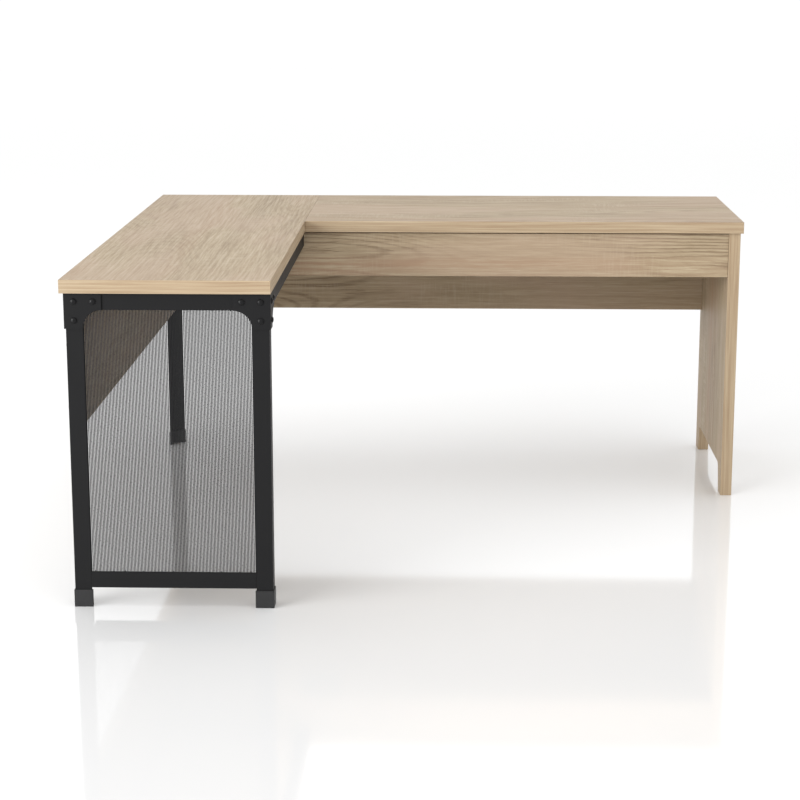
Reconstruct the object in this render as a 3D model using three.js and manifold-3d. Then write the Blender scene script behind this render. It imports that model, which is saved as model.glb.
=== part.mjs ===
// Corner desk. A long desk with a wooden end panel meets, at a right angle, a return that stands
// on a riveted angle-iron frame. The open end of that frame is closed by a perforated screen.
//
// Millimetres, +Z up. Pieces are laid out from the outer rear corner of the tops at floor level:
// the desk runs along +X and the return along -Y. The finished group is then moved so that its
// origin lies at floor level under the middle of the bounding box.

import * as THREE from 'three';
import { mergeVertices } from 'three/addons/utils/BufferGeometryUtils.js';
import Module from 'manifold-3d';

const wasm = await Module();
wasm.setup();

// ---------------------------------------------------------------- driving dimensions

// Clearance between pieces that touch, and round a shank in its hole
const fitGap = 0.3;

// Tops
const deskLength = 1630;
const deskDepth = 588;
const returnLength = 1595;
const returnWidth = 464;
const deskHeight = 750;
const topThickness = 30;

// Wooden end panel; its two feet widen upwards into a low arch
const endPanelThickness = 30;
const endPanelEndInset = 7;
const endPanelFrontInset = 7.5;
const endPanelBackInset = 8.5;
const woodFootWidth = 51;
const archHeight = 75;
const archSlope = 20;
const archRadius = 15;

// Front apron
const apronHeight = 115;
const apronThickness = 18;
const apronFrontInset = 12;

// Back panels of the desk and of the return
const backPanelThickness = 28;
const backPanelBottom = 420;

// Angle-iron frame; insets run from the edges of the tops to the outer faces of the iron
const angleWidth = 38;
const angleThickness = 3;
const frameOuterInset = 11;
const frameInnerInset = 4;
const frameEndInset = 13;
const frameRearInset = 11;
const bottomRailHeight = 45;

// Perforated screen
const screenThickness = 1;

// Foot caps
const capHeight = 40;
const capWall = 2;
const capBase = 4;

// Gusset plates and their rivets
const gussetSize = 80;
const gussetThickness = 3;
const rivetHeadRadius = 6.75;
const rivetHeadHeight = 4;
const rivetShankRadius = 3;

// Bolts that hold the return's back panel to the legs
const boltHeadRadius = 6;
const boltHeadHeight = 3.5;
const boltShankRadius = 3;
const boltGrip = 20;
const boltEdgeDistance = 40;

// Wood screws
const screwHeadRadius = 4.5;
const screwHeadHeight = 2.4;
const screwShankRadius = 2;
const screwGrip = 14;

// Flat plate under the seam between the tops
const seamPlateLength = 440;
const seamPlateWidth = 120;
const seamPlateThickness = 2;
const seamPlateScrewInset = 20;

// Angle brackets
const bracketLeg = 36;
const bracketHeight = 26;
const bracketThickness = 3;

// Dowels and cam fittings between the end panel and the boards that butt against it
const dowelRadius = 4;
const dowelDepth = 15;
const fittingInset = 32;
const camRadius = 7.5;
const camSetback = 34;
const camCover = 1.5;
const camBoltRadius = 3;
const camBoltDepth = 11;
const camBoltBite = 4;

// Straight rim of a domed head, as a share of the head's height
const headRimShare = 0.3;

// How far the apron's screw goes into the apron, and where the top's screws lie along the rail
const apronScrewShare = 0.7;
const topScrewShares = [0.25, 0.75];

// Facets of round pieces and arcs
const shankFacets = 12;
const headFacets = 16;
const domeSteps = 3;
const arcSteps = 10;

// ---------------------------------------------------------------- places worked out from the sizes

const topUnderside = deskHeight - topThickness;
const supportTop = topUnderside - fitGap;

const endPanelOuterFace = deskLength - endPanelEndInset;
const endPanelInnerFace = endPanelOuterFace - endPanelThickness;
const endPanelFront = -deskDepth + endPanelFrontInset;
const endPanelBack = -endPanelBackInset;

const frameOuterFace = frameOuterInset;
const frameInnerFace = returnWidth - frameInnerInset;
const frameEndFace = -returnLength + frameEndInset;
const frameRearFace = -frameRearInset;
const nest = angleThickness + fitGap;

const railFlangeUnderside = supportTop - angleThickness;
const clearOfRails = railFlangeUnderside - fitGap;
const screenFront = frameEndFace + nest;
const screenBack = screenFront + screenThickness;

const returnPanelOuterFace = frameOuterFace + nest;
const returnPanelInnerFace = returnPanelOuterFace + backPanelThickness;
const deskPanelRear = frameRearFace - nest;
const deskPanelFront = deskPanelRear - backPanelThickness;

const apronFront = -deskDepth + apronFrontInset;
const apronBack = apronFront + apronThickness;
const apronBottom = clearOfRails - apronHeight;

const boardStart = returnPanelInnerFace + fitGap;
const boardEnd = endPanelInnerFace - fitGap;

// ---------------------------------------------------------------- materials

const finishes = {
  oak: { color: 0xc4b294, roughness: 0.55, metalness: 0 },
  blackSteel: { color: 0x303133, roughness: 0.5, metalness: 0.4 },
  screenSteel: { color: 0x37383a, roughness: 0.55, metalness: 0.4 },
  blackPlastic: { color: 0x1b1b1c, roughness: 0.6, metalness: 0 },
  zinc: { color: 0xb5b8bb, roughness: 0.35, metalness: 0.9 },
  beech: { color: 0xd6b788, roughness: 0.8, metalness: 0 },
};

// ---------------------------------------------------------------- geometry helpers

const up = new THREE.Vector3(0, 0, 1);

function box([x0, x1], [y0, y1], [z0, z1]) {
  const geometry = new THREE.BoxGeometry(x1 - x0, y1 - y0, z1 - z0);
  return geometry.translate((x0 + x1) / 2, (y0 + y1) / 2, (z0 + z1) / 2);
}

// A straight prism. Its outline is a list of [x, y] along z, [y, z] along x, or [z, x] along y.
function prism(outline, axis, from, to) {
  const shape = new THREE.Shape(outline.map(([a, b]) => new THREE.Vector2(a, b)));
  const geometry = new THREE.ExtrudeGeometry(shape, { depth: to - from, bevelEnabled: false });
  geometry.translate(0, 0, from);
  const [x, y, z] = [0, 1, 2].map((i) => new THREE.Vector3().setComponent(i, 1));
  const bases = { x: [y, z, x], y: [z, x, y], z: [x, y, z] };
  return geometry.applyMatrix4(new THREE.Matrix4().makeBasis(...bases[axis]));
}

// Points on a circular arc, both ends included
function arc([a, b], radius, startAngle, endAngle) {
  return Array.from({ length: arcSteps + 1 }, (_, i) => {
    const angle = startAngle + ((endAngle - startAngle) * i) / arcSteps;
    return [a + radius * Math.cos(angle), b + radius * Math.sin(angle)];
  });
}

// The L-shaped section of an angle, from its outer corner along two directions of +1 or -1
function angleOutline([a, b], [alongA, alongB], width, thickness) {
  const [farA, farB] = [a + alongA * width, b + alongB * width];
  const [innerA, innerB] = [a + alongA * thickness, b + alongB * thickness];
  return [[a, b], [farA, b], [farA, innerB], [innerA, innerB], [innerA, farB], [a, farB]];
}

function toSolid(geometry) {
  const bare = geometry.clone();
  bare.deleteAttribute('normal');
  bare.deleteAttribute('uv');
  const merged = mergeVertices(bare);
  const vertProperties = new Float32Array(merged.getAttribute('position').array);
  const triVerts = new Uint32Array(merged.getIndex().array);
  return new wasm.Manifold(new wasm.Mesh({ numProp: 3, vertProperties, triVerts }));
}

function cut(geometry, tools) {
  const solid = tools.reduce((left, tool) => left.subtract(toSolid(tool)), toSolid(geometry));
  const { vertProperties, triVerts } = solid.getMesh();
  const result = new THREE.BufferGeometry();
  result.setAttribute('position', new THREE.BufferAttribute(vertProperties, 3));
  return result.setIndex(new THREE.BufferAttribute(triVerts, 1));
}

// A cylinder on the line through `at` along the unit vector `out`, between two distances from `at`
function rod(at, out, radius, from, to) {
  const geometry = new THREE.CylinderGeometry(radius, radius, to - from, shankFacets);
  geometry.rotateX(Math.PI / 2).translate(0, 0, (from + to) / 2);
  geometry.applyQuaternion(new THREE.Quaternion().setFromUnitVectors(up, out));
  return geometry.translate(at.x, at.y, at.z);
}

// ---------------------------------------------------------------- the assembly

const assembly = new THREE.Group();
const blanks = new Map();
const holes = new Map();

function addMesh(name, geometry, finish) {
  const mesh = new THREE.Mesh(geometry, new THREE.MeshStandardMaterial(finishes[finish]));
  mesh.name = name;
  assembly.add(mesh);
  return mesh;
}

// A piece whose geometry is laid out in place gets the middle of its own box as its position
function addInPlace(name, geometry, finish) {
  geometry.computeBoundingBox();
  const middle = geometry.boundingBox.getCenter(new THREE.Vector3());
  geometry.translate(-middle.x, -middle.y, -middle.z);
  addMesh(name, geometry, finish).position.copy(middle);
}

// A blank is built once every hole in it is known
function addBlank(name, geometry, finish) {
  blanks.set(name, { geometry, finish });
  holes.set(name, []);
}

function drill(names, tool) {
  names.forEach((name) => holes.get(name).push(tool));
}

// A headed fastener whose head lies on the outside of a face at `at` and points along `out`.
// It drills its own clearance hole in each piece that it passes through or bites into.
function addFastener(name, kind, at, out, shankLength, pieces) {
  const { headRadius, headHeight, shankRadius, finish } = kind;
  const rim = headHeight * headRimShare;
  const dome = Array.from({ length: domeSteps + 1 }, (_, i) => {
    const angle = (i / domeSteps) * (Math.PI / 2);
    return [headRadius * Math.cos(angle), rim + (headHeight - rim) * Math.sin(angle)];
  });
  dome[domeSteps][0] = 0;
  const shank = [[0, -shankLength], [shankRadius, -shankLength], [shankRadius, 0], [headRadius, 0]];
  const profile = [...shank, ...dome].map(([r, h]) => new THREE.Vector2(r, h));
  const geometry = new THREE.LatheGeometry(profile, headFacets).rotateX(Math.PI / 2);
  const mesh = addMesh(name, geometry, finish);
  mesh.quaternion.setFromUnitVectors(up, out);
  mesh.position.copy(at).addScaledVector(out, fitGap);
  drill(pieces, rod(at, out, shankRadius + fitGap, -shankLength, headHeight));
}

const rivet = {
  headRadius: rivetHeadRadius,
  headHeight: rivetHeadHeight,
  shankRadius: rivetShankRadius,
  finish: 'blackSteel',
};
const bolt = {
  headRadius: boltHeadRadius,
  headHeight: boltHeadHeight,
  shankRadius: boltShankRadius,
  finish: 'blackSteel',
};
const screw = {
  headRadius: screwHeadRadius,
  headHeight: screwHeadHeight,
  shankRadius: screwShankRadius,
  finish: 'zinc',
};

// ---------------------------------------------------------------- wooden boards

function addBoards() {
  const topLevels = [topUnderside, deskHeight];
  const returnTop = box([0, returnWidth], [-returnLength, 0], topLevels);
  const deskTop = box([returnWidth + fitGap, deskLength], [-deskDepth, 0], topLevels);
  addBlank('return_top', returnTop, 'oak');
  addBlank('desk_top', deskTop, 'oak');

  addBlank('end_panel', prism(endPanelOutline(), 'x', endPanelInnerFace, endPanelOuterFace), 'oak');

  const boardSpan = [boardStart, boardEnd];
  const apron = box(boardSpan, [apronFront, apronBack], [apronBottom, clearOfRails]);
  const deskBack = box(boardSpan, [deskPanelFront, deskPanelRear], [backPanelBottom, supportTop]);
  const returnBack = box(
    [returnPanelOuterFace, returnPanelInnerFace],
    [screenBack + fitGap, frameRearFace - nest],
    [backPanelBottom, clearOfRails],
  );
  addBlank('front_apron', apron, 'oak');
  addBlank('desk_back_panel', deskBack, 'oak');
  addBlank('return_back_panel', returnBack, 'oak');
}

// The end panel seen along X: a rectangle whose lower edge is cut away between the two feet
function endPanelOutline() {
  const frontFoot = endPanelFront + woodFootWidth;
  const backFoot = endPanelBack - woodFootWidth;
  const flank = Math.atan2(archHeight, archSlope);
  const setback = archRadius * Math.tan(flank / 2);
  const centreHeight = archHeight - archRadius;
  const backCentre = [backFoot - archSlope - setback, centreHeight];
  const frontCentre = [frontFoot + archSlope + setback, centreHeight];
  const flankNormal = Math.PI / 2 - flank;
  return [
    [endPanelFront, 0],
    [endPanelFront, supportTop],
    [endPanelBack, supportTop],
    [endPanelBack, 0],
    [backFoot, 0],
    ...arc(backCentre, archRadius, flankNormal, Math.PI / 2),
    ...arc(frontCentre, archRadius, Math.PI / 2, Math.PI - flankNormal),
    [frontFoot, 0],
  ];
}

// ---------------------------------------------------------------- angle-iron frame

const legs = {
  outer_front: { corner: [frameOuterFace, frameEndFace], inward: [1, 1] },
  inner_front: { corner: [frameInnerFace, frameEndFace], inward: [-1, 1] },
  corner: { corner: [frameOuterFace, frameRearFace], inward: [1, -1] },
};

function addLegs() {
  for (const [name, { corner, inward }] of Object.entries(legs)) {
    const outline = angleOutline(corner, inward, angleWidth, angleThickness);
    addBlank(`${name}_leg`, prism(outline, 'z', capBase + fitGap, supportTop), 'blackSteel');
    addInPlace(`${name}_foot_cap`, footCap(corner, inward), 'blackPlastic');
  }
}

// An L-shaped boot that the end of a leg stands in
function footCap([x, y], [alongX, alongY]) {
  const grown = (margin) =>
    angleOutline(
      [x - alongX * margin, y - alongY * margin],
      [alongX, alongY],
      angleWidth + 2 * margin,
      angleThickness + 2 * margin,
    );
  const body = prism(grown(fitGap + capWall), 'z', 0, capHeight);
  const pocket = prism(grown(fitGap), 'z', capBase, capHeight + capBase);
  return cut(body, [pocket]);
}

function addRails() {
  const legEdge = angleWidth + fitGap;
  const endSpan = [frameOuterFace + legEdge, frameInnerFace - legEdge];
  const sideStart = frameEndFace + legEdge;
  const section = (corner, directions) =>
    angleOutline(corner, directions, angleWidth, angleThickness);

  const endTop = section([frameEndFace, supportTop], [1, -1]);
  addBlank('end_top_rail', prism(endTop, 'x', ...endSpan), 'blackSteel');

  const endBottom = section([frameEndFace, bottomRailHeight], [1, 1]);
  addBlank('end_bottom_rail', prism(endBottom, 'x', ...endSpan), 'blackSteel');

  const outerSide = section([supportTop, frameOuterFace], [-1, 1]);
  const outerSideEnd = frameRearFace - legEdge;
  addBlank('outer_side_rail', prism(outerSide, 'y', sideStart, outerSideEnd), 'blackSteel');

  const innerSide = section([supportTop, frameInnerFace], [-1, -1]);
  const innerSideEnd = apronFront - fitGap;
  addBlank('inner_side_rail', prism(innerSide, 'y', sideStart, innerSideEnd), 'blackSteel');
}

// The screen lies inside the leg flanges and between the flanges of the two end rails
function addScreen() {
  const sheet = box(
    [frameOuterFace + nest, frameInnerFace - nest],
    [screenFront, screenBack],
    [bottomRailHeight + nest, clearOfRails],
  );
  addBlank('perforated_screen', sheet, 'screenSteel');
}

// ---------------------------------------------------------------- gussets and rivets

// A gusset reaches from the outer top corner of a leg, and its inner corner is a hollow arc that
// runs out at the edges of the leg and the rail. `lap` lengthens it past the leg's corner.
function gussetOutline(corner, inward, lap) {
  const far = corner + inward * gussetSize;
  const low = supportTop - gussetSize;
  const edge = corner - inward * lap;
  const hollow = arc([0, 0], gussetSize - angleWidth, Math.PI / 2, Math.PI)
    .map(([a, b]) => [far + inward * a, low + b]);
  return [[edge, supportTop], [far, supportTop], ...hollow, [edge, low]];
}

// Distances along the leg's edge and down from its top
const rivetPattern = [
  [angleWidth / 2, angleWidth / 2],
  [gussetSize - angleWidth / 2, angleWidth / 2],
  [angleWidth / 2, gussetSize - angleWidth / 2],
];

function addGussets() {
  const reach = gussetThickness + angleThickness + 2 * fitGap;
  const lap = gussetThickness + fitGap;

  const endGussets = [
    { side: 'outer', corner: frameOuterFace, inward: 1 },
    { side: 'inner', corner: frameInnerFace, inward: -1 },
  ];
  for (const { side, corner, inward } of endGussets) {
    const name = `${side}_end_gusset`;
    const outline = gussetOutline(corner, inward, lap).map(([x, z]) => [z, x]);
    const face = frameEndFace - lap;
    addBlank(name, prism(outline, 'y', face, face + gussetThickness), 'blackSteel');
    rivetPattern.forEach(([along, down], i) => {
      const at = new THREE.Vector3(corner + inward * along, face, supportTop - down);
      const out = new THREE.Vector3(0, -1, 0);
      const backing = [`${side}_front_leg`, 'end_top_rail'];
      addFastener(`${name}_rivet_${i + 1}`, rivet, at, out, reach, [name, ...backing]);
    });
  }

  const sideGussets = [
    { name: 'outer_side_gusset', leg: 'outer_front', rail: 'outer_side_rail' },
    { name: 'inner_side_gusset', leg: 'inner_front', rail: 'inner_side_rail' },
    { name: 'corner_side_gusset', leg: 'corner', rail: 'outer_side_rail' },
  ];
  for (const { name, leg, rail } of sideGussets) {
    const { corner: [x, y], inward: [inwardX, inwardY] } = legs[leg];
    const outline = gussetOutline(y, inwardY, 0);
    const face = x - inwardX * lap;
    const [from, to] = [face, face + inwardX * gussetThickness].sort((a, b) => a - b);
    addBlank(name, prism(outline, 'x', from, to), 'blackSteel');
    rivetPattern.forEach(([along, down], i) => {
      const at = new THREE.Vector3(face, y + inwardY * along, supportTop - down);
      const out = new THREE.Vector3(-inwardX, 0, 0);
      addFastener(`${name}_rivet_${i + 1}`, rivet, at, out, reach, [name, `${leg}_leg`, rail]);
    });
  }
}

// ---------------------------------------------------------------- other fixings

// Two bolts through the side flange of each outer leg into the return's back panel
function addPanelBolts() {
  const heights = [backPanelBottom + boltEdgeDistance, supportTop - gussetSize - boltEdgeDistance];
  const out = new THREE.Vector3(-1, 0, 0);
  const shankLength = fitGap + angleThickness + boltGrip;
  for (const leg of ['outer_front', 'corner']) {
    const { corner: [x, y], inward: [, inwardY] } = legs[leg];
    heights.forEach((z, i) => {
      const at = new THREE.Vector3(x, y + (inwardY * angleWidth) / 2, z);
      const pieces = [`${leg}_leg`, 'return_back_panel'];
      addFastener(`${leg}_panel_bolt_${i + 1}`, bolt, at, out, shankLength, pieces);
    });
  }
}

// Two screws up through the inner side rail into the return's top
function addTopScrews() {
  const x = frameInnerFace - angleWidth / 2;
  const railStart = frameEndFace + angleWidth;
  const railLength = apronFront - railStart;
  topScrewShares.forEach((share, i) => {
    const at = new THREE.Vector3(x, railStart + share * railLength, railFlangeUnderside);
    const shankLength = fitGap + angleThickness + screwGrip;
    const pieces = ['inner_side_rail', 'return_top'];
    addFastener(`top_screw_${i + 1}`, screw, at, up.clone().negate(), shankLength, pieces);
  });
}

// A flat plate under the seam, with two screws into each top
function addSeamPlate() {
  const seam = returnWidth + fitGap / 2;
  const middle = (apronBack + deskPanelFront) / 2;
  const underside = supportTop - seamPlateThickness;
  const halfWidth = seamPlateWidth / 2;
  const halfLength = seamPlateLength / 2;
  const plate = box(
    [seam - halfWidth, seam + halfWidth],
    [middle - halfLength, middle + halfLength],
    [underside, supportTop],
  );
  addBlank('seam_plate', plate, 'zinc');
  const shankLength = fitGap + seamPlateThickness + screwGrip;
  let number = 1;
  for (const [side, top] of [[-1, 'return_top'], [1, 'desk_top']]) {
    for (const end of [-1, 1]) {
      const x = seam + side * (halfWidth - seamPlateScrewInset);
      const y = middle + end * (halfLength - seamPlateScrewInset);
      const at = new THREE.Vector3(x, y, underside);
      const out = up.clone().negate();
      addFastener(`seam_plate_screw_${number}`, screw, at, out, shankLength, ['seam_plate', top]);
      number += 1;
    }
  }
}

// An angle bracket in the corner between two upright faces, with one screw in each leg.
// `inward` points from the corner into the open quarter; `behind` names the pieces that the
// screws enter through the X-facing and the Y-facing leg, and `grips` how deep each one goes.
function addBracket(name, [x, y], inward, middle, behind, grips) {
  const outline = angleOutline([x, y], inward, bracketLeg, bracketThickness);
  const [low, high] = [middle - bracketHeight / 2, middle + bracketHeight / 2];
  addBlank(name, prism(outline, 'z', low, high), 'zinc');
  const [inwardX, inwardY] = inward;
  const along = (bracketLeg + bracketThickness) / 2;
  const seats = [
    { out: [inwardX, 0], at: [x + inwardX * bracketThickness, y + inwardY * along] },
    { out: [0, inwardY], at: [x + inwardX * along, y + inwardY * bracketThickness] },
  ];
  seats.forEach(({ out, at }, i) => {
    const shankLength = fitGap + bracketThickness + grips[i];
    const seat = new THREE.Vector3(...at, middle);
    const direction = new THREE.Vector3(...out, 0);
    addFastener(`${name}_screw_${i + 1}`, screw, seat, direction, shankLength, [name, behind[i]]);
  });
}

function addBrackets() {
  const railInside = [frameInnerFace - nest, apronFront - fitGap];
  const railMiddle = supportTop - angleWidth / 2;
  const railPieces = ['inner_side_rail', 'front_apron'];
  const railGrips = [angleThickness, apronThickness * apronScrewShare];
  addBracket('apron_bracket', railInside, [-1, -1], railMiddle, railPieces, railGrips);

  const panelCorner = [boardStart, deskPanelFront - fitGap];
  const panelMiddle = (backPanelBottom + supportTop) / 2;
  const panelPieces = ['return_back_panel', 'desk_back_panel'];
  addBracket('corner_bracket', panelCorner, [1, -1], panelMiddle, panelPieces, [screwGrip, screwGrip]);
}

// A dowel and a cam fitting between the end panel and the end of a board that butts against it.
// The cam is let into the board's face at `face`, and `into` points from that face to the board.
function addEndFittings(board, prefix, face, into, thickness, bottom, top) {
  const y = face + (into * thickness) / 2;
  const along = new THREE.Vector3(1, 0, 0);
  const joint = (endPanelInnerFace + boardEnd) / 2;

  const dowelAt = new THREE.Vector3(joint, y, bottom + fittingInset);
  addInPlace(`${prefix}_dowel`, rod(dowelAt, along, dowelRadius, -dowelDepth, dowelDepth), 'beech');
  const dowelEnd = dowelDepth + fitGap;
  drill([board, 'end_panel'], rod(dowelAt, along, dowelRadius + fitGap, -dowelEnd, dowelEnd));

  const boltAt = new THREE.Vector3(joint, y, top - fittingInset);
  const boltEnd = camSetback - camRadius + camBoltBite;
  addInPlace(`${prefix}_cam_bolt`, rod(boltAt, along, camBoltRadius, -boltEnd, camBoltDepth), 'zinc');
  const boltHole = rod(boltAt, along, camBoltRadius + fitGap, -boltEnd - fitGap, camBoltDepth + fitGap);
  drill([board, 'end_panel'], boltHole);

  const camDepth = thickness / 2 + camBoltRadius + camCover;
  const camAt = new THREE.Vector3(joint - camSetback, face, boltAt.z);
  const inward = new THREE.Vector3(0, into, 0);
  const cam = rod(camAt, inward, camRadius, 0, camDepth);
  addInPlace(`${prefix}_cam`, cut(cam, [boltHole]), 'zinc');
  drill([board], rod(camAt, inward, camRadius + fitGap, -camCover, camDepth + fitGap));
}

function addEndPanelFittings() {
  addEndFittings(
    'front_apron', 'apron', apronBack, -1,
    apronThickness, apronBottom, clearOfRails,
  );
  addEndFittings(
    'desk_back_panel', 'back_panel', deskPanelRear, -1,
    backPanelThickness, backPanelBottom, supportTop,
  );
}

// ---------------------------------------------------------------- build

addBoards();
addLegs();
addRails();
addScreen();
addGussets();
addPanelBolts();
addTopScrews();
addSeamPlate();
addBrackets();
addEndPanelFittings();

for (const [name, { geometry, finish }] of blanks) {
  addInPlace(name, cut(geometry, holes.get(name)), finish);
}

assembly.position.set(-deskLength / 2, returnLength / 2, 0);

export default assembly;
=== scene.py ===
"""Looks of the corner desk: oak laminate boards on an angle-iron frame with a perforated screen.

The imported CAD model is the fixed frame. Boards, irons, plates, caps and hidden hardware keep their
CAD shape and gain softened edges. The screen, the rivets and the panel bolts are rebuilt with their
fine detail. Lengths are in metres.
"""

import math

import bpy
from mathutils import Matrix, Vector
from mathutils.geometry import delaunay_2d_cdt


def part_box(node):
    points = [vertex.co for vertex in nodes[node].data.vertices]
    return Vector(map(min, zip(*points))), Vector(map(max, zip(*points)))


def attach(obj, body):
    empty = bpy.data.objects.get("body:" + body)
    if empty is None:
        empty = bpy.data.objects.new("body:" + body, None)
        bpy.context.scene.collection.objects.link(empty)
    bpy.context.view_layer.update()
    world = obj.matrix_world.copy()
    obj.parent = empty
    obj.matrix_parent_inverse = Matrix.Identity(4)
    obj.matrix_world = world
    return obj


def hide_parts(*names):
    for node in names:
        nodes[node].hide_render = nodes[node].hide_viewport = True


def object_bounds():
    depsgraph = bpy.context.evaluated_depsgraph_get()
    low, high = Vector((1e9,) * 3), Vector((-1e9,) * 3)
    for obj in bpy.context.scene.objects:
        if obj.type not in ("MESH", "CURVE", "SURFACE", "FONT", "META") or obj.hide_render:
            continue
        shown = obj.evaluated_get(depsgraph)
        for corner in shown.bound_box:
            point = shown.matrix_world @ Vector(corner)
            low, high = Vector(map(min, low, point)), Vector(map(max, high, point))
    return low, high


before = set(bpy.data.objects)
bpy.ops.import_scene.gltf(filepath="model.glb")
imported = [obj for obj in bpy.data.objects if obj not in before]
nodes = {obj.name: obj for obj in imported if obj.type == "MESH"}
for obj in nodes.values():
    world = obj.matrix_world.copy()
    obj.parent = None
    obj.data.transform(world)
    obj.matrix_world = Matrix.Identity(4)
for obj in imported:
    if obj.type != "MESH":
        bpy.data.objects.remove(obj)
cad_low, cad_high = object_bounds()

# ---------------------------------------------------------------- sizes

X, Y, Z = 0, 1, 2

# Softened edges: (radius, steps round the edge)
BOARD_EDGE = (0.0014, 3)
IRON_EDGE = (0.0005, 2)
PLATE_EDGE = (0.0004, 2)
CAP_EDGE = (0.0015, 3)
HARDWARE_EDGE = (0.0003, 1)
WELD_DISTANCE = 1e-5
FLAT_ANGLE = math.radians(1)
EDGE_ANGLE = math.radians(40)

# Perforated screen. Each column of slots starts higher by COLUMN_SHIFT of the slot pitch.
COLUMN_PITCH = 0.0032
COLUMN_SHIFT = 0.382
SLOT_PITCH = 0.020
SLOT_WIDTH = 0.00104
SLOT_LENGTH = 0.0195
SHORTEST_SLOT = 0.003
SCREEN_THICKNESS = 0.0004
SCREEN_BORDER = 0.033

# Rivets and bolts
TURNED_SIDES = 32
DOME_STEPS = 8
RIVET_HEAD_HEIGHT = 0.004
RIVET_SHANK_RADIUS = 0.003
BOLT_HEAD_HEIGHT = 0.0035
BOLT_SHANK_RADIUS = 0.003
BOLT_SOCKET_RADIUS = 0.002
BOLT_SOCKET_DEPTH = 0.0018
HEAD_RIM_SHARE = 0.25

# Camera, floor and lights
CAMERA_PLACE = Vector((0.0534, -5.0874, 1.4398))
CAMERA_LENS = 90.0
FLOOR_SIZE = 80.0
FLOOR_DROP = 0.0002
SURROUND_STRENGTH = 1.05
# Each softbox: place, what it looks at, width, height and power in watts
SOFTBOXES = {
    "overhead": ((-0.3, -1.2, 3.6), (0, 0, 0.4), 4.5, 4.0, 30),
    "front_left": ((-8.8, -7.6, 2.6), (0, 0, 0.5), 8.0, 5.0, 1200),
}

# Oak pattern: cycles a metre along the grain and across it; the third number keeps the seed as it is
SWAY_SCALE = (0.9, 1.8, 1)
RING_SCALE = (0.55, 4.4, 1)
RING_ZONE_SCALE = (0.8, 3.1, 1)
FIBRE_SCALE = (20, 480, 1)
STREAK_SCALE = (5.5, 165, 1)
BROAD_SCALE = (0.8, 17, 1)
PORE_SCALE = (24, 640, 1)
FLECK_SCALE = (38, 260, 1)
SAW_LINE_SCALE = (190, 16, 1)
SAW_ZONE_SCALE = (3.1, 7.5, 1)
PINK_ZONE_SCALE = (1.7, 5.2, 1)
RED_ZONE_SCALE = (0.30, 9.0, 1)
BAND_SCALE = (4.0, 230, 1)

# Oak pattern: how far the streaks wander, how many rings the field holds, how much the fibres
# feather them, and how much each layer moves the tone
SWAY_WIDTH = 0.03
RING_COUNT = 96
RING_FEATHERING = 1.5
STREAK_SHARE = 0.64
FIBRE_SHARE = 0.36
BASE_TONE = 0.47
BROAD_SHARE = 0.26
PORE_SHARE = 0.12
FLECK_SHARE = 0.07
PINK_SHARE = 0.45

# A face looks along an axis if its normal's part along that axis is more than this
FACING = 0.75


# ---------------------------------------------------------------- materials

def srgb(red, green, blue):
    """A colour given as 0..255 screen values, as the linear colour that a shader takes."""
    shares = (red / 255, green / 255, blue / 255)
    linear = [s / 12.92 if s <= 0.04045 else ((s + 0.055) / 1.055) ** 2.4 for s in shares]
    return (*linear, 1.0)


class Finish:
    """One procedural material, with short helpers that add nodes to it."""

    def __init__(self, name):
        self.material = bpy.data.materials.new(name)
        self.material.use_nodes = True
        self.tree = self.material.node_tree
        self.shader = self.tree.nodes["Principled BSDF"]
        self.coordinates = self.add("ShaderNodeTexCoord")

    def add(self, kind, inputs=None, **settings):
        node = self.tree.nodes.new(kind)
        for key, value in settings.items():
            setattr(node, key, value)
        for key, value in (inputs or {}).items():
            self.feed(node.inputs[key], value)
        return node

    def feed(self, socket, value):
        if isinstance(value, bpy.types.NodeSocket):
            self.tree.links.new(value, socket)
        else:
            socket.default_value = value

    def surface(self, **inputs):
        for key, value in inputs.items():
            self.feed(self.shader.inputs[key.replace("_", " ")], value)

    def math(self, operation, first, second=0.0, clamp=False):
        return self.add(
            "ShaderNodeMath", {0: first, 1: second}, operation=operation, use_clamp=clamp
        ).outputs[0]

    def remap(self, value, from_low, from_high, to_low=0.0, to_high=1.0):
        """Moves a value from one range to another and keeps it inside, with soft ends."""
        inputs = {0: value, 1: from_low, 2: from_high, 3: to_low, 4: to_high}
        return self.add("ShaderNodeMapRange", inputs, interpolation_type="SMOOTHSTEP").outputs[0]

    def blend(self, factor, first, second):
        """A number that goes from first to second."""
        return self.add(
            "ShaderNodeMix", {0: factor, 2: first, 3: second}, data_type="FLOAT"
        ).outputs[0]

    def tint(self, factor, first, second, mode="MIX"):
        """A colour that goes from first to second."""
        return self.add(
            "ShaderNodeMix", {0: factor, 6: first, 7: second}, data_type="RGBA", blend_type=mode
        ).outputs[2]

    def ramp(self, value, stops):
        """A colour read from a scale of (place, colour) stops."""
        node = self.add("ShaderNodeValToRGB", {0: value})
        elements = node.color_ramp.elements
        while len(elements) < len(stops):
            elements.new(0.5)
        for element, (place, colour) in zip(elements, stops):
            element.position = place
            element.color = colour
        return node.outputs[0]

    def scaled(self, vector, scale):
        return self.add(
            "ShaderNodeVectorMath", {0: vector, 1: scale}, operation="MULTIPLY"
        ).outputs[0]

    def noise(self, vector, scale, detail=2.0, roughness=0.5, distortion=0.0):
        """Smooth noise from 0 to 1. scale is cycles a metre on each axis of vector."""
        inputs = {
            "Vector": self.scaled(vector, scale),
            "Scale": 1.0,
            "Detail": detail,
            "Roughness": roughness,
            "Distortion": distortion,
        }
        return self.add("ShaderNodeTexNoise", inputs).outputs[0]

    def bump(self, height, distance, strength=1.0):
        inputs = {"Height": height, "Distance": distance, "Strength": strength}
        return self.add("ShaderNodeBump", inputs).outputs["Normal"]


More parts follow.
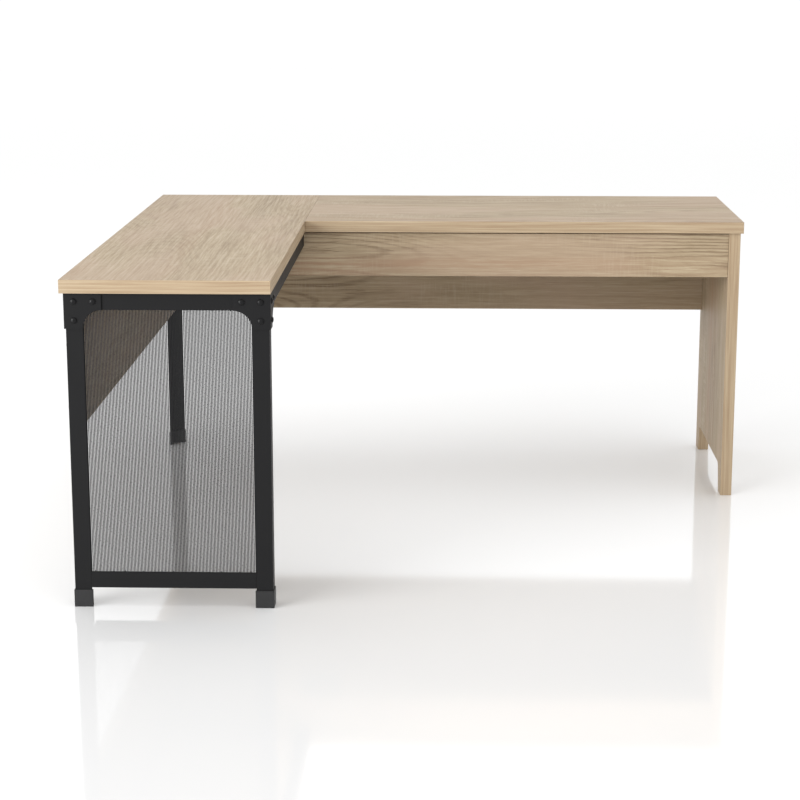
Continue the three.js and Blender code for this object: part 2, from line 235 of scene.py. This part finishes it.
OAK_DARK = srgb(124, 105, 82)
OAK_MID = srgb(159, 141, 114)
OAK_PALE = srgb(181, 165, 139)
OAK_RED = srgb(163, 132, 106)
OAK_PINK = srgb(170, 147, 126)
OAK_BAND = srgb(166, 146, 119)
OAK_BAND_DARK = srgb(148, 125, 98)
OAK_BAND_PALE = srgb(180, 162, 135)
SAW_PALE = srgb(188, 175, 153)


def oak_laminate(name, grain, face, seed, figure, streaking, warmth, saw_marks):
    """Printed oak on a board. grain is the axis that the streaks run along and face the axis that
    the board's broad faces look along. The other faces are edge bands. figure, streaking, warmth
    and saw_marks say how strong each part of the pattern is."""
    f = Finish(name)
    across = X + Y + Z - grain - face
    place = f.add("ShaderNodeSeparateXYZ", {0: f.coordinates.outputs["Object"]}).outputs
    normal = f.add("ShaderNodeSeparateXYZ", {0: f.coordinates.outputs["Normal"]}).outputs
    is_face = f.math("GREATER_THAN", f.math("ABSOLUTE", normal[face]), FACING)
    is_end = f.math("GREATER_THAN", f.math("ABSOLUTE", normal[grain]), FACING)
    along = f.blend(is_end, place[grain], place[across])
    side = f.blend(is_face, place[face], place[across])
    flat = f.add("ShaderNodeCombineXYZ", {0: along, 1: side, 2: seed}).outputs[0]

    # The streaks wander a little from side to side
    sway = f.math("SUBTRACT", f.noise(flat, SWAY_SCALE, 2), 0.5)
    bent_side = f.math("ADD", side, f.math("MULTIPLY", sway, SWAY_WIDTH))
    wood = f.add("ShaderNodeCombineXYZ", {0: along, 1: bent_side, 2: seed}).outputs[0]

    # Growth rings: level lines of a long soft noise, feathered by the fibres
    fibres = f.noise(wood, FIBRE_SCALE, 3, 0.6)
    field = f.noise(wood, RING_SCALE, 1, 0.4, 0.2)
    feathered = f.math(
        "ADD", f.math("MULTIPLY", field, RING_COUNT), f.math("MULTIPLY", fibres, RING_FEATHERING)
    )
    ring_wave = f.math("SINE", f.math("MULTIPLY", feathered, math.pi))
    ring_zone = f.remap(f.noise(flat, RING_ZONE_SCALE, 1), 0.40, 0.60)
    rings = f.math("MULTIPLY", f.remap(ring_wave, 0.1, 1.0), ring_zone)

    streaks = f.noise(wood, STREAK_SCALE, 3, 0.62)
    broad = f.noise(wood, BROAD_SCALE, 2)
    pores = f.remap(f.noise(wood, PORE_SCALE, 2, 0.5), 0.58, 0.70)
    pale_fleck = f.remap(f.noise(wood, FLECK_SCALE, 1), 0.64, 0.80)

    # Fine saw marks across the grain, in patches
    saw_lines = f.remap(f.noise(flat, SAW_LINE_SCALE, 2, 0.5), 0.46, 0.66)
    saw_zone = f.remap(f.noise(flat, SAW_ZONE_SCALE, 3, 0.6), 0.48, 0.70)
    saw = f.math("MULTIPLY", f.math("MULTIPLY", saw_lines, saw_zone), saw_marks)

    # All the layers together give one tone, from dark to pale
    texture = f.math(
        "ADD", f.math("MULTIPLY", streaks, STREAK_SHARE), f.math("MULTIPLY", fibres, FIBRE_SHARE)
    )
    texture = f.math("MULTIPLY", f.math("SUBTRACT", texture, 0.5), streaking)
    tone = f.math("ADD", f.math("ADD", texture, BASE_TONE), f.math("MULTIPLY", broad, BROAD_SHARE))
    tone = f.math("SUBTRACT", tone, f.math("MULTIPLY", rings, figure))
    tone = f.math("SUBTRACT", tone, f.math("MULTIPLY", pores, PORE_SHARE))
    tone = f.math("ADD", tone, f.math("MULTIPLY", pale_fleck, FLECK_SHARE))
    colour = f.ramp(tone, [(0.28, OAK_DARK), (0.60, OAK_MID), (0.85, OAK_PALE)])

    # Warm patches and bands, then the saw marks
    pink_zone = f.remap(f.noise(flat, PINK_ZONE_SCALE, 2), 0.42, 0.62)
    colour = f.tint(f.math("MULTIPLY", pink_zone, PINK_SHARE), colour, OAK_PINK)
    red_zone = f.remap(f.noise(wood, RED_ZONE_SCALE, 2), 0.50, 0.72)
    red_share = f.math("MULTIPLY", f.math("MULTIPLY", red_zone, warmth), f.remap(tone, 0.75, 0.45))
    colour = f.tint(red_share, colour, OAK_RED)
    colour = f.tint(saw, colour, SAW_PALE)

    band_streaks = f.noise(flat, BAND_SCALE, 3, 0.6)
    band = f.ramp(band_streaks, [(0.30, OAK_BAND_DARK), (0.52, OAK_BAND), (0.75, OAK_BAND_PALE)])
    colour = f.tint(is_face, band, colour)

    relief = f.math("SUBTRACT", streaks, f.math("MULTIPLY", pores, 0.6))
    gloss = f.remap(streaks, 0.2, 0.8, 0.58, 0.44)
    f.surface(
        Base_Color=colour, Roughness=gloss, Specular_IOR_Level=0.35,
        Normal=f.bump(relief, 0.00025, 0.5),
    )
    return f.material


def powder_coat(name, tone, gloss=0.5):
    """Baked black powder paint: orange-peel skin, slight mottling and a soft sheen."""
    f = Finish(name)
    place = f.coordinates.outputs["Object"]
    peel = f.noise(place, (650, 650, 650), 3, 0.55)
    speck = f.noise(place, (2400, 2400, 2400), 2, 0.6)
    cloud = f.noise(place, (14, 14, 14), 3, 0.55)
    mottle = f.math("ADD", f.math("MULTIPLY", cloud, 0.2), f.math("MULTIPLY", speck, 0.8))
    dark = srgb(*(0.88 * channel for channel in tone))
    pale = srgb(*(1.12 * channel for channel in tone))
    colour = f.ramp(mottle, [(0.30, dark), (0.70, pale)])
    relief = f.math("ADD", peel, f.math("MULTIPLY", speck, 0.25))
    f.surface(
        Base_Color=colour, Roughness=f.remap(cloud, 0.3, 0.7, gloss - 0.01, gloss + 0.02),
        Specular_IOR_Level=0.17, Normal=f.bump(relief, 0.00006, 0.6),
    )
    return f.material


def moulded_plastic(name, tone):
    """Black moulded plastic with a fine spark-eroded grain."""
    f = Finish(name)
    place = f.coordinates.outputs["Object"]
    grain = f.noise(place, (1500, 1500, 1500), 3, 0.6)
    scuffs = f.noise(place, (60, 60, 220), 3, 0.6)
    scuffed = srgb(*(1.3 * channel for channel in tone))
    colour = f.ramp(scuffs, [(0.35, srgb(*tone)), (0.80, scuffed)])
    f.surface(
        Base_Color=colour, Roughness=f.remap(scuffs, 0.3, 0.8, 0.42, 0.60),
        Normal=f.bump(grain, 0.00005, 0.6),
    )
    return f.material


def zinc_plate(name):
    """Bright zinc plating on pressed steel, with faint cloudy patches and drawing lines."""
    f = Finish(name)
    place = f.coordinates.outputs["Object"]
    clouds = f.noise(place, (55, 55, 55), 3, 0.6)
    lines = f.noise(place, (60, 60, 2600), 2, 0.5)
    colour = f.ramp(clouds, [(0.30, srgb(150, 153, 156)), (0.70, srgb(196, 198, 200))])
    f.surface(
        Base_Color=colour, Metallic=1.0, Roughness=f.remap(clouds, 0.3, 0.7, 0.26, 0.44),
        Normal=f.bump(lines, 0.00002, 0.5),
    )
    return f.material


def beech(name):
    """Turned beech dowel: pale wood with short dark flecks along X."""
    f = Finish(name)
    place = f.coordinates.outputs["Object"]
    flecks = f.noise(place, (160, 1900, 1900), 2, 0.6)
    colour = f.ramp(flecks, [(0.35, srgb(170, 132, 92)), (0.60, srgb(206, 172, 130))])
    f.surface(Base_Color=colour, Roughness=0.6, Normal=f.bump(flecks, 0.00005, 0.5))
    return f.material


# ---------------------------------------------------------------- helpers for pieces

def dress(name, material, edge):
    """Gives a CAD node its finish and softens its edges."""
    node = nodes[name]
    node.data.materials.clear()
    node.data.materials.append(material)
    weld = node.modifiers.new("Weld", "WELD")
    weld.merge_threshold = WELD_DISTANCE
    flat = node.modifiers.new("Whole flat faces", "DECIMATE")
    flat.decimate_type = "DISSOLVE"
    flat.angle_limit = FLAT_ANGLE
    soft = node.modifiers.new("Soft edges", "BEVEL")
    soft.width, soft.segments = edge
    soft.limit_method = "ANGLE"
    soft.angle_limit = EDGE_ANGLE
    soft.harden_normals = True
    return node


def replacement(node_name, mesh, material):
    """Puts a new piece in the place of one CAD node."""
    mesh.materials.append(material)
    piece = bpy.data.objects.new("fine_" + node_name, mesh)
    bpy.context.scene.collection.objects.link(piece)
    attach(piece, "root")
    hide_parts(node_name)
    return piece


def turned_mesh(name, profile, start, direction):
    """A closed turned solid. profile runs from end to end as (distance along direction, radius);
    its first and last points lie on the axis."""
    axis = Vector(direction)
    side = axis.orthogonal().normalized()
    up = axis.cross(side)
    turns = [math.tau * k / TURNED_SIDES for k in range(TURNED_SIDES)]
    spokes = [math.cos(turn) * side + math.sin(turn) * up for turn in turns]
    rings = profile[1:-1]
    points = [start + axis * along + spoke * radius for along, radius in rings for spoke in spokes]
    first_pole = len(points)
    points.append(start + axis * profile[0][0])
    points.append(start + axis * profile[-1][0])
    faces = []
    for ring in range(len(rings) - 1):
        low = ring * TURNED_SIDES
        high = low + TURNED_SIDES
        for k in range(TURNED_SIDES):
            following = (k + 1) % TURNED_SIDES
            faces.append((low + k, low + following, high + following, high + k))
    last = (len(rings) - 1) * TURNED_SIDES
    for k in range(TURNED_SIDES):
        following = (k + 1) % TURNED_SIDES
        faces.append((following, k, first_pole))
        faces.append((last + k, last + following, first_pole + 1))
    mesh = bpy.data.meshes.new(name)
    mesh.from_pydata(points, [], faces)
    mesh.shade_smooth()
    mesh.set_sharp_from_angle(angle=EDGE_ANGLE)
    return mesh


def headed_profile(length, head_radius, head_height, shank_radius, socket):
    """Shank, flat underside, short rim and dome. socket is the (radius, depth) of a recess in the
    dome, or None."""
    base = length - head_height
    rim = head_height * HEAD_RIM_SHARE
    profile = [(0, 0), (0, shank_radius), (base, shank_radius), (base, head_radius)]
    socket_radius, socket_depth = socket or (0, 0)
    steepest = math.acos(socket_radius / head_radius)
    for step in range(DOME_STEPS + 1):
        turn = steepest * step / DOME_STEPS
        height = base + rim + (head_height - rim) * math.sin(turn)
        profile.append((height, head_radius * math.cos(turn)))
    if socket:
        floor_height = profile[-1][0] - socket_depth
        profile += [(floor_height, socket_radius), (floor_height, 0)]
    else:
        profile[-1] = (length, 0)
    return profile


def fine_fixing(node_name, outward, head_height, shank_radius, socket, material):
    """Rebuilds a rivet or bolt, whose head looks along outward, in its CAD node's place."""
    low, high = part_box(node_name)
    centre = (low + high) / 2
    direction = Vector(outward)
    size = high - low
    length = abs(size.dot(direction))
    # The other two sides of the box are both the head's width
    head_radius = (size.x + size.y + size.z - length) / 4
    profile = headed_profile(length, head_radius, head_height, shank_radius, socket)
    start = centre - direction * length / 2
    mesh = turned_mesh(node_name, profile, start, direction)
    return replacement(node_name, mesh, material)


def rectangle(left, right, bottom, top):
    corners = [(left, bottom), (right, bottom), (right, top), (left, top)]
    return [Vector(corner) for corner in corners]


def slot_outlines(low, high):
    """Columns of upright slots between two corners of a sheet. Every column is shifted against
    the one before, so the bridges between the slots don't line up in rows."""
    columns = int((high.x - low.x) / COLUMN_PITCH) + 1
    slots = []
    for column in range(columns):
        x = (low.x + high.x) / 2 + (column - (columns - 1) / 2) * COLUMN_PITCH
        bottom = low.z - SLOT_PITCH * (1 - column * COLUMN_SHIFT % 1)
        while bottom < high.z:
            start, end = max(bottom, low.z), min(bottom + SLOT_LENGTH, high.z)
            if end - start > SHORTEST_SLOT:
                slots.append(rectangle(x - SLOT_WIDTH / 2, x + SLOT_WIDTH / 2, start, end))
            bottom += SLOT_PITCH
    return slots


def perforated_mesh(name, low, high):
    """A thin sheet standing in XZ, with upright slots inside a plain border."""
    border = Vector((SCREEN_BORDER, 0, SCREEN_BORDER))
    rims = [rectangle(low.x, high.x, low.z, high.z)] + slot_outlines(low + border, high - border)

    points = [point for rim in rims for point in rim]
    rim_of = [number for number, rim in enumerate(rims) for _ in rim]
    borders = []
    start = 0
    for rim in rims:
        borders += [(start + k, start + (k + 1) % len(rim)) for k in range(len(rim))]
        start += len(rim)

    flat_points, _, triangles, origins, _, _ = delaunay_2d_cdt(points, borders, [], 1, 1e-9)
    source = [found[0] for found in origins]
    place_of = {index: place for place, index in enumerate(source)}

    # A triangle with all its corners on the rim of one slot lies in the opening
    web = [t for t in triangles if len({rim_of[source[corner]] for corner in t}) > 1]
    count = len(flat_points)
    front = (low.y + high.y - SCREEN_THICKNESS) / 2
    sides = (front, front + SCREEN_THICKNESS)
    solid = [(point.x, y, point.y) for y in sides for point in flat_points]
    faces = [tuple(t) for t in web]
    faces += [tuple(corner + count for corner in reversed(t)) for t in web]
    for first, second in borders:
        a, b = place_of[first], place_of[second]
        inside_first = rim_of[first] > 0
        faces.append((a, b, b + count, a + count) if inside_first else (b, a, a + count, b + count))
    mesh = bpy.data.meshes.new(name)
    mesh.from_pydata(solid, [], faces)
    return mesh


# ---------------------------------------------------------------- dressing the desk

# Each board: grain axis, axis of its broad faces, seed of its pattern, then how strong
# the growth rings, the streaks, the warm bands and the saw marks are
BOARDS = {
    "return_top": (Y, Z, 3.1, 0.09, 1.10, 0.25, 0.35),
    "desk_top": (X, Z, 11.7, 0.13, 1.35, 0.25, 0.25),
    "end_panel": (Z, X, 23.4, 0.20, 1.15, 0.70, 0.35),
    "front_apron": (X, Y, 31.9, 0.24, 1.25, 0.60, 0.12),
    "desk_back_panel": (X, Y, 47.2, 0.22, 1.00, 0.30, 0.20),
    "return_back_panel": (Y, X, 58.6, 0.22, 1.00, 0.30, 0.25),
}
for board, (grain, face, *pattern) in BOARDS.items():
    dress(board, oak_laminate("oak_" + board, grain, face, *pattern), BOARD_EDGE)

frame_paint = powder_coat("black_powder_coat", (20, 20, 21))
rivet_paint = powder_coat("rivet_powder_coat", (18, 18, 19), 0.28)
screen_paint = powder_coat("screen_powder_coat", (24, 24, 25))
cap_plastic = moulded_plastic("cap_plastic", (17, 17, 18))
zinc = zinc_plate("zinc_plating")
dowel_beech = beech("dowel_beech")

LEGS = ("outer_front", "inner_front", "corner")
IRONS = [leg + "_leg" for leg in LEGS]
IRONS += ["end_top_rail", "end_bottom_rail", "outer_side_rail", "inner_side_rail"]
for iron in IRONS:
    dress(iron, frame_paint, IRON_EDGE)
for leg in LEGS:
    dress(leg + "_foot_cap", cap_plastic, CAP_EDGE)

# Gusset plates with three rivets each, and the way that their rivet heads look
GUSSETS = {
    "outer_end": (0, -1, 0),
    "inner_end": (0, -1, 0),
    "outer_side": (-1, 0, 0),
    "inner_side": (1, 0, 0),
    "corner_side": (-1, 0, 0),
}
for corner, outward in GUSSETS.items():
    dress(corner + "_gusset", frame_paint, PLATE_EDGE)
    for number in (1, 2, 3):
        rivet = f"{corner}_gusset_rivet_{number}"
        fine_fixing(rivet, outward, RIVET_HEAD_HEIGHT, RIVET_SHANK_RADIUS, None, rivet_paint)

socket = (BOLT_SOCKET_RADIUS, BOLT_SOCKET_DEPTH)
for leg in ("outer_front", "corner"):
    for number in (1, 2):
        bolt = f"{leg}_panel_bolt_{number}"
        fine_fixing(bolt, (-1, 0, 0), BOLT_HEAD_HEIGHT, BOLT_SHANK_RADIUS, socket, rivet_paint)

screen_low, screen_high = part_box("perforated_screen")
screen_mesh = perforated_mesh("perforated_screen", screen_low, screen_high)
replacement("perforated_screen", screen_mesh, screen_paint)

# What is left is the hidden hardware: no finish yet, and not replaced
for name, node in nodes.items():
    if node.modifiers or node.hide_render:
        continue
    dress(name, dowel_beech if name.endswith("dowel") else zinc, HARDWARE_EDGE)


# ---------------------------------------------------------------- floor, light and camera

def make_floor():
    """A pale glossy studio floor, just under the desk."""
    half = FLOOR_SIZE / 2
    corners = [(-half, -half), (half, -half), (half, half), (-half, half)]
    mesh = bpy.data.meshes.new("studio_floor")
    mesh.from_pydata([(x, y, cad_low.z - FLOOR_DROP) for x, y in corners], [], [(0, 1, 2, 3)])
    f = Finish("studio_floor")
    f.surface(
        Base_Color=srgb(238, 238, 238), Roughness=0.07, IOR=1.8, Specular_IOR_Level=0.85,
    )
    mesh.materials.append(f.material)
    floor = bpy.data.objects.new("studio_floor", mesh)
    bpy.context.scene.collection.objects.link(floor)


def make_surround(strength):
    """Even white light from every side, which is the backdrop as well."""
    world = bpy.data.worlds.new("studio")
    world.use_nodes = True
    background = world.node_tree.nodes["Background"]
    background.inputs["Color"].default_value = (1, 1, 1, 1)
    background.inputs["Strength"].default_value = strength
    bpy.context.scene.world = world


def make_softbox(name, place, target, width, height, power):
    """A large area light that looks at target."""
    light = bpy.data.lights.new(name, "AREA")
    light.shape = "RECTANGLE"
    light.size = width
    light.size_y = height
    light.energy = power
    lamp = bpy.data.objects.new(name, light)
    lamp.location = place
    lamp.rotation_euler = (Vector(target) - Vector(place)).to_track_quat("-Z", "Y").to_euler()
    bpy.context.scene.collection.objects.link(lamp)


def make_camera():
    """Stands at the viewpoint and looks at the middle of the desk's outline."""
    boxes = [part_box(name) for name in nodes]
    corners = [Vector((x.x, y.y, z.z)) for box in boxes for x in box for y in box for z in box]
    rays = [corner - CAMERA_PLACE for corner in corners]
    turns = [math.atan2(ray.x, ray.y) for ray in rays]
    tilts = [math.atan2(ray.z, math.hypot(ray.x, ray.y)) for ray in rays]
    turn = (min(turns) + max(turns)) / 2
    tilt = (min(tilts) + max(tilts)) / 2
    data = bpy.data.cameras.new("camera")
    data.lens = CAMERA_LENS
    camera = bpy.data.objects.new("camera", data)
    camera.location = CAMERA_PLACE
    camera.rotation_euler = (math.pi / 2 + tilt, 0, -turn)
    bpy.context.scene.collection.objects.link(camera)
    bpy.context.scene.camera = camera


make_floor()
make_surround(SURROUND_STRENGTH)
for name, settings in SOFTBOXES.items():
    make_softbox(name, *settings)
make_camera()
bpy.context.scene.view_settings.view_transform = "Standard"
